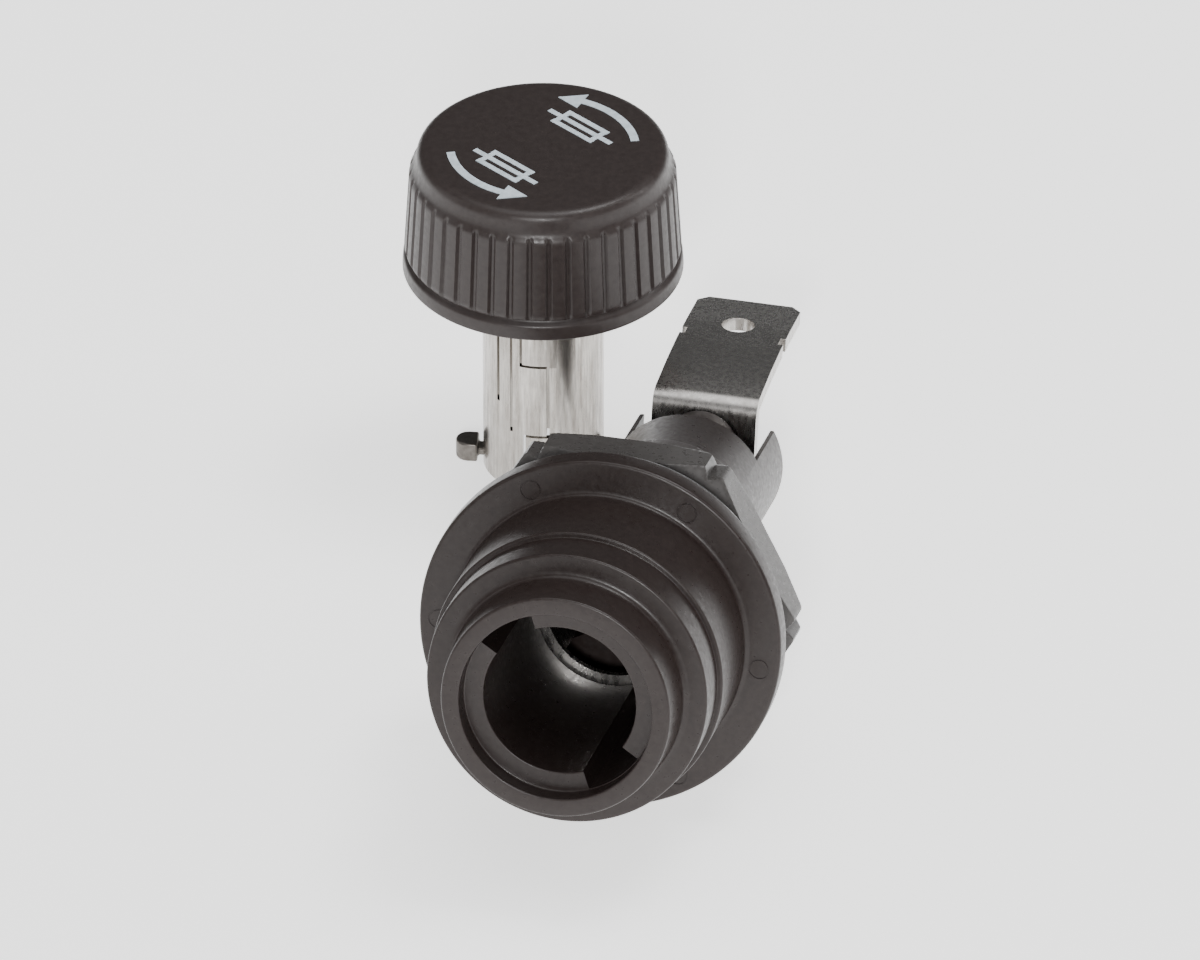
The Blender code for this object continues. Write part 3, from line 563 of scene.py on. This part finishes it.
def make_nut():
    """Hexagon with rounded corners, bevelled by a cone on both faces and threaded inside."""
    corner = NUT_FLAT / math.cos(math.pi / 6)
    inner_edge = HARDWARE_BORE + 0.1

    def hexagon(angle):
        from_flat = angle % (math.pi / 3) - math.pi / 6
        plain = NUT_FLAT / math.cos(from_flat)
        return min(plain, corner - 0.22 - 1.6 * max(0.0, plain - corner + 0.42))

    def shaped(radius, height, angle):
        if radius < inner_edge:
            depth = thread_depth(height, angle, NUT_FRONT, NUT_BACK)
            return radius - 0.1 + 0.16 * (1 - depth), height
        edge = min(NUT_FRONT - height, height - NUT_BACK)
        cone = corner - 0.12 - max(0.0, NUT_BEVEL - edge) * 1.75
        share = (radius - inner_edge) / (corner - inner_edge)
        return inner_edge + (min(hexagon(angle), cone) - inner_edge) * min(1.0, share), height

    sweep = [NUT_BEVEL * (1 - math.cos(math.radians(angle))) for angle in range(0, 91, 10)]
    outer = [(corner, NUT_FRONT - drop) for drop in sweep]
    outer += [(corner, NUT_BACK + rise) for rise in reversed(sweep)]
    turns = 28
    low, length = NUT_BACK + 0.1, NUT_FRONT - NUT_BACK - 0.2
    inner = [(inner_edge, NUT_BACK)]
    inner += [(HARDWARE_BORE, low + length * i / turns) for i in range(turns + 1)]
    inner += [(inner_edge, NUT_FRONT)]
    rows = [(9.0, NUT_FRONT)] + outer + [(9.0, NUT_BACK)] + inner
    nut = turned("ring_nut", HOLDER, rows, 360, reshape=shaped)
    finish(nut, NUT_PLASTIC, "nut", "nut_plastic", "hex_nut")


def make_side_contact():
    contact = copy_of("side_contact", "bayonet_contact")
    bevelled(contact, 0.06, 2)
    finish(contact, TIN, "holder", "tin_plate", "side_contact")


def make_side_terminal():
    tab = copy_of("side_terminal", "side_tab")
    bevelled(tab, 0.09)
    finish(tab, TIN, "holder", "tin_plate", "side_terminal")


def make_side_rivet():
    outer, inner, spread = 6.9, 3.75, 1.4
    rows = [(0.0, outer + 0.54)] + filleted([(0.8, outer + 0.52, 0.2), (RIVET_HEAD, outer + 0.2, 0.2),
                                             (RIVET_HEAD, outer, 0.06), (RIVET_SHANK, outer, 0.0),
                                             (RIVET_SHANK, inner, 0.0), (spread, inner, 0.06),
                                             (spread, inner - 0.25, 0.06)]) + [(0.0, inner - 0.25)]
    rivet = turned("side_rivet_head", pointing_out(SIDE_ANGLE, SIDE_RIVET_PLACE), rows, 64, False)
    finish(rivet, TIN, "holder", "tin_plate", "side_rivet")


def make_rear_terminal():
    tab = copy_of("rear_terminal", "rear_tab")
    bevelled(tab, 0.09, 3, 28.0)
    finish(tab, TIN, "holder", "tin_plate", "rear_terminal")


def make_rear_rivet():
    back, front = CORE_END - 1.4, FUSE_BORE_END + 0.9
    rows = [(0.0, front + 0.25)] + filleted([(RIVET_HEAD, front + 0.25, 0.1),
                                             (RIVET_HEAD, front, 0.0), (RIVET_SHANK, front, 0.0),
                                             (RIVET_SHANK, back, 0.0), (1.62, back, 0.05),
                                             (RIVET_HEAD, back - 0.38, 0.2),
                                             (RIVET_SHANK, back - 0.56, 0.25)])
    rows.append((0.0, back - 0.6))
    rivet = turned("rear_rivet_head", HOLDER, rows, 64, False)
    finish(rivet, TIN, "holder", "tin_plate", "rear_rivet")


def make_rear_washer():
    back, front, outer = FUSE_BORE_END + 0.3, FUSE_BORE_END + 0.6, 3.0
    rows = filleted([(RIVET_HOLE, front, 0.05), (outer, front, 0.06), (outer, back, 0.06),
                     (RIVET_HOLE, back, 0.05)])
    finish(turned("rivet_washer", HOLDER, rows, 72), TIN, "holder", "tin_plate", "rear_washer")


def make_rear_contact():
    front, back, outer = -18.4, -19.15, 3.1
    rows = [(0.0, front)] + filleted([(1.5, front, 0.3), (2.0, front - 0.32, 0.15),
                                      (outer, front - 0.32, 0.12), (outer, back, 0.1)])
    rows.append((0.0, back))
    contact = turned("rear_button_contact", HOLDER, rows, 72, False)
    finish(contact, TIN, "rear_button", "tin_plate", "rear_contact")


# ---------------------------------------------------------------- springs

def coil(name, place, low_radius, high_radius, low, high, turns):
    """Conical spring with closed ends, swept as a round wire along its helix."""
    per_turn, sides = 40, 14
    count = int(turns * per_turn)
    vertices, faces = [], []
    for i in range(count + 1):
        share = i / count
        angle = 2 * math.pi * turns * share
        radius = low_radius + (high_radius - low_radius) * share
        eased = share - 0.55 * math.sin(2 * math.pi * share) / (2 * math.pi)
        centre = Vector((radius * math.cos(angle), radius * math.sin(angle),
                         low + (high - low) * eased))
        out = Vector((math.cos(angle), math.sin(angle), 0))
        for k in range(sides):
            turn = 2 * math.pi * k / sides
            around = out * math.cos(turn) + Vector((0, 0, math.sin(turn)))
            vertices.append(centre + around * WIRE_THICKNESS / 2)
        if i:
            base = (i - 1) * sides
            for k in range(sides):
                n = (k + 1) % sides
                faces.append([base + k, base + n, base + sides + n, base + sides + k])
    faces += [list(range(sides)), list(range(count * sides, (count + 1) * sides))]
    return new_piece(name, vertices, faces, place)


def make_rear_spring():
    low, high, press = FUSE_BORE_END + 1.125, -19.675, 1.8
    spring = coil("rear_coil", HOLDER, 2.65, 1.7, low, high, 3.0)
    finish(spring, SPRING_WIRE, "holder", "spring_steel", "rear_spring")
    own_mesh(spring)


def make_cap_spring():
    low, high, press = 15.425, 18.975, 3.2
    spring = coil("cap_coil", CARRIER, 1.75, 2.6, low, high, 3.5)
    finish(spring, SPRING_WIRE, "carrier", "spring_steel", "cap_spring")
    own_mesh(spring)


# ---------------------------------------------------------------- carrier

def knob_rows():
    """Side from the middle of the top to the rim, then the skirt, boss and socket."""
    top = [(0.0, KNOB_TOP - 0.01), (2.5, KNOB_TOP - 0.02), (5.0, KNOB_TOP - 0.03)]
    top += filleted([(5.0, KNOB_TOP - 0.03, 0.0), (7.43, KNOB_TOP - 0.05, 0.62),
                     (7.66, RIB_END + 0.1, 0.0)], 9)[1:-1]
    band = [(7.58, 21.4), (7.65, 21.15), (7.71, 21.0)]
    count = 36
    upper, lower, length = 7.78, 8.13, RIB_END - RIB_START + 0.2
    ribs = [(upper + (lower - upper) * i / count, RIB_END + 0.1 - length * i / count)
            for i in range(count + 1)]
    rim = filleted([(8.1, 15.2, 0.1), (8.34, 15.0, 0.14), (8.40, KNOB_RIM, 0.12),
                    (7.2, KNOB_RIM, 0.1),
                    (7.2, 17.6, 0.3), (5.3, 17.6, 0.2), (5.3, 16.3, 0.12), (3.93, 16.3, 0.1),
                    (3.93, 19.8, 0.0), (4.9, 19.8, 0.0), (4.9, 20.9, 0.0)])
    return top + band + ribs + rim[:-1] + [(4.9, 20.9), (0.0, 20.9)]


def ribbed(radius, height, angle):
    """Grip ribs with rounded shoulders, which run out softly at both ends."""
    low, high = RIB_START - 0.12, RIB_END + 0.05
    if radius < 7.6 or not low <= height <= high:
        return radius, height
    phase = (angle * RIB_COUNT / (2 * math.pi)) % 1.0
    side = abs(phase - 0.5) * 2                    # 0 on a rib's crest, 1 in a groove's middle
    shoulder, slope = 0.66, 0.18                   # where a rib's flat top ends, and its wall
    wall = 1.0 - min(1.0, max(0.0, (side - shoulder) / slope))
    crown = wall * wall * (3 - 2 * wall) - 0.05 * min(side, shoulder) ** 2
    ends = min(1.0, (high - height) / 0.22, (height - low) / 0.3)
    ends = max(0.0, ends) ** 0.6
    return radius + RIB_DEPTH * crown * ends, height


def make_knob():
    knob = turned("ribbed_knob", CARRIER, knob_rows(), RIB_COUNT * 16, False, ribbed)
    finish(knob, KNOB_PHENOLIC, "cap", "phenolic", "cap_knob")


def strip(points, width):
    """Outline of a line of even width through points."""
    left, right = [], []
    for i, point in enumerate(points):
        here = Vector(point)
        ahead = Vector(points[min(i + 1, len(points) - 1)])
        behind = Vector(points[max(i - 1, 0)])
        along = (ahead - behind).normalized()
        side = Vector((-along.y, along.x)) * width / 2
        left.append(tuple(here + side))
        right.append(tuple(here - side))
    return left + right[::-1]


def mark_outlines(middle):
    """One group of marks on the knob: a curved arrow and a fuse symbol beside it."""
    arrow = strip(arc(MARK_RADIUS, middle - 38, middle + 22, 20), 0.5)
    tip, back = middle + 36, middle + 20
    head = [polar(MARK_RADIUS, tip), polar(MARK_RADIUS + 0.8, back),
            polar(MARK_RADIUS - 0.8, back)]
    turn = Matrix.Rotation(math.radians(middle), 2)
    near, wire, far = 2.45, 3.1, 3.75
    lines = [[(wire, -2.6), (wire, 2.6)], [(near, -1.5), (far, -1.5)], [(near, 1.5), (far, 1.5)],
             [(near, -1.7), (near, 1.7)], [(far, -1.7), (far, 1.7)]]
    symbol = [strip([tuple(turn @ Vector(p)) for p in line], 0.34) for line in lines]
    return [arrow, head] + symbol


def make_marks():
    """Printed marks: a turn arrow and a fuse symbol on each side of the knob."""
    for number, middle in enumerate((50.0, 230.0), 1):
        parts = [extruded("ink", CARRIER, outline, KNOB_TOP - 0.06, KNOB_TOP + 0.005)
                 for outline in mark_outlines(middle)]
        mark = parts[0]
        cut(mark, parts[1:], 'UNION')
        mark.name = "knob_print_%d" % number
        mark.data.name = mark.name
        finish(mark, INK, "cap", "phenolic")


def seam_cutters():
    """The rolled sleeve's stepped seam and the slits beside it, facing local -Y.

    A span is (low X, high X, low Z, high Z), along the middle of its slit.
    """
    slit = SLIT_HALF_WIDTH
    spans = [(-1.0, -1.0, 9.0, 19.0), (-1.0, 0.62, 9.0, 9.0), (0.62, 0.62, 4.0, 9.0),
             (-0.8, 0.62, 4.0, 4.0), (-0.8, -0.8, -1.0, 4.0), (-1.6, -1.6, 4.2, 15.0),
             (-2.43, -2.43, 6.0, 15.0)]
    cutters = [block("seam", CARRIER, (x_low - slit, -4.4, z_low - slit),
                     (x_high + slit, -1.9, z_high + slit))
               for x_low, x_high, z_low, z_high in spans]
    step = block("step", CARRIER, (0.6, -4.4, 4.05), (1.12, -3.37, 8.95))
    return cutters + [step]


def make_sleeve():
    lip, lip_hole, lip_radius = SLEEVE_TOP - 0.35, 2.4, 4.6
    rows = filleted([(lip_hole, SLEEVE_TOP, 0.05), (lip_radius, SLEEVE_TOP, 0.1),
                     (lip_radius, lip, 0.08), (SLEEVE_RADIUS, lip, 0.15),
                     (SLEEVE_RADIUS, 0.0, 0.1), (SLEEVE_BORE, 0.0, 0.08), (SLEEVE_BORE, lip, 0.1),
                     (lip_hole, lip, 0.05)])
    sleeve = turned("rolled_sleeve", CARRIER, rows, 192)
    slots = block("slots", CARRIER, (-5.0, -0.75, -1.0), (5.0, 0.75, 1.15))
    cut(sleeve, seam_cutters() + [slots])
    bevelled(sleeve, 0.045, 2, 40.0)
    finish(sleeve, NICKEL, "cap", "nickel_plate", "carrier_sleeve")


def make_lugs():
    for name, node in (("lug_left", "bayonet_pin_left"), ("lug_right", "bayonet_pin_right")):
        lug = copy_of(node, name)
        bevelled(lug, 0.12, 3)
        finish(lug, DARK_STEEL, "cap", "dark_steel", node)


def make_contact_cup():
    rows = [(0.0, 15.4)] + filleted([(1.2, 15.4, 0.1), (1.2, 14.9, 0.1), (2.9, 14.9, 0.1),
                                     (2.9, 14.2, 0.2), (2.4, 13.75, 0.25)]) + [(0.0, 13.6)]
    cup = turned("cap_button_contact", CARRIER, rows, 72, False)
    finish(cup, TIN, "cap_button", "tin_plate", "contact_cup")


def make_spring_seat():
    rows = [(0.0, 19.9)] + filleted([(2.9, 19.9, 0.1), (2.9, 19.5, 0.1)]) + [(0.0, 19.5)]
    seat = turned("spring_disc", CARRIER, rows, 72, False)
    finish(seat, TIN, "carrier", "tin_plate", "spring_seat")


# ---------------------------------------------------------------- studio

def make_floor():
    half = 0.6                   # metres, as everything in the studio is
    mesh = bpy.data.meshes.new("bench")
    shape = bmesh.new()
    bmesh.ops.create_grid(shape, x_segments=8, y_segments=8, size=half)
    shape.to_mesh(mesh)
    shape.free()
    floor = bpy.data.objects.new("bench", mesh)
    bpy.context.scene.collection.objects.link(floor)
    floor.data.materials.append(floor_material())


def area_light(name, place, target, size, power):
    data = bpy.data.lights.new(name, 'AREA')
    data.shape = 'RECTANGLE'
    data.size, data.size_y = size
    data.energy = power
    light = bpy.data.objects.new(name, data)
    bpy.context.scene.collection.objects.link(light)
    light.location = place
    light.rotation_euler = (Vector(target) - Vector(place)).to_track_quat('-Z', 'Y').to_euler()


def smooth_rise(nodes, low, high, to_low, to_high):
    """A node that eases from one value to another as its input goes from low to high."""
    made = nodes.new("ShaderNodeMapRange")
    made.interpolation_type = 'SMOOTHSTEP'
    for key, number in (("From Min", low), ("From Max", high), ("To Min", to_low),
                        ("To Max", to_high)):
        made.inputs[key].default_value = number
    return made


def make_lights():
    """Bright overhead, dim at the back and sides and half lit in front, over a glowing bench."""
    world = bpy.data.worlds.new("studio")
    bpy.context.scene.world = world
    world.use_nodes = True
    nodes, links = world.node_tree.nodes, world.node_tree.links
    sky = nodes["Background"]
    sky.inputs["Color"].default_value = (0.98, 0.99, 1.0, 1.0)
    coords = nodes.new("ShaderNodeTexCoord")
    parts = nodes.new("ShaderNodeSeparateXYZ")
    overhead = smooth_rise(nodes, 0.80, 0.98, 0.12, 2.2)
    front = smooth_rise(nodes, -0.35, -0.95, 0.0, 0.40)
    both = nodes.new("ShaderNodeMath")
    links.new(coords.outputs["Generated"], parts.inputs["Vector"])
    links.new(parts.outputs["Z"], overhead.inputs["Value"])
    links.new(parts.outputs["Y"], front.inputs["Value"])
    links.new(overhead.outputs["Result"], both.inputs[0])
    links.new(front.outputs["Result"], both.inputs[1])
    links.new(both.outputs["Value"], sky.inputs["Strength"])
    centre = (0.0, 0.0, 0.01)
    area_light("side_right", (0.42, 0.06, 0.22), centre, (0.12, 0.30), 0.55)
    area_light("side_left", (-0.42, 0.02, 0.20), centre, (0.12, 0.30), 0.2)
    area_light("top_right", (0.16, 0.05, 0.45), centre, (0.16, 0.16), 0.8)
    area_light("front_fill", (-0.05, -0.80, 0.42), (0.0, 0.0, 0.02), (0.10, 0.10), 5.0)


def make_camera():
    """Looks along +Y and down, from far away, at a point just right of the cap."""
    lens, sensor = 448.2, 36.0
    distance, elevation = 0.900, math.radians(34.144)
    cap = CARRIER.translation
    target = Vector((cap.x + 3.395 * MM, cap.y, -1.527 * MM))
    back = Vector((0.0, -math.cos(elevation), math.sin(elevation)))
    data = bpy.data.cameras.new("camera")
    data.lens = lens
    data.sensor_width = sensor
    data.clip_start = 0.05
    data.clip_end = 5.0
    camera = bpy.data.objects.new("camera", data)
    bpy.context.scene.collection.objects.link(camera)
    camera.location = target + back * distance
    camera.rotation_euler = (math.pi / 2 - elevation, 0.0, 0.0)
    bpy.context.scene.camera = camera


make_camera()
make_body()
make_gasket()
make_lock_washer()
make_nut()
make_side_contact()
make_side_terminal()
make_side_rivet()
make_rear_terminal()
make_rear_rivet()
make_rear_washer()
make_rear_contact()
make_rear_spring()
make_knob()
make_marks()
make_sleeve()
make_lugs()
make_contact_cup()
make_cap_spring()
make_spring_seat()
make_floor()
make_lights()
